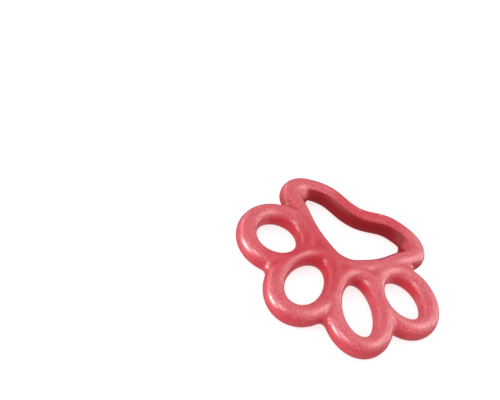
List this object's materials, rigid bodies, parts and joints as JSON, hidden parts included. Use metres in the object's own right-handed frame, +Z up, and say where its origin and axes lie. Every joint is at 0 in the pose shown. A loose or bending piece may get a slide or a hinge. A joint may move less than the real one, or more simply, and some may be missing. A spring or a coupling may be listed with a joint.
{
  "type": "rubber dog ring toy",
  "caption": "Chew and tug toy for a dog, moulded in solid red rubber as a paw print of joined open rings that jaws and fingers can hold.",
  "frame": {"origin": "below the middle of the outline, on the plane that the toy rests on", "axes": "+X across the paw to its right side, +Y from the toes to the notched heel, +Z up through the thickness"},
  "size_m": [0.1495, 0.1308, 0.0144],
  "materials": {
    "red_rubber": "dull waxy satin"
  },
  "bodies": {
    "root": {"rubber_paw_ring": "red_rubber"}
  },
  "joints": []
}
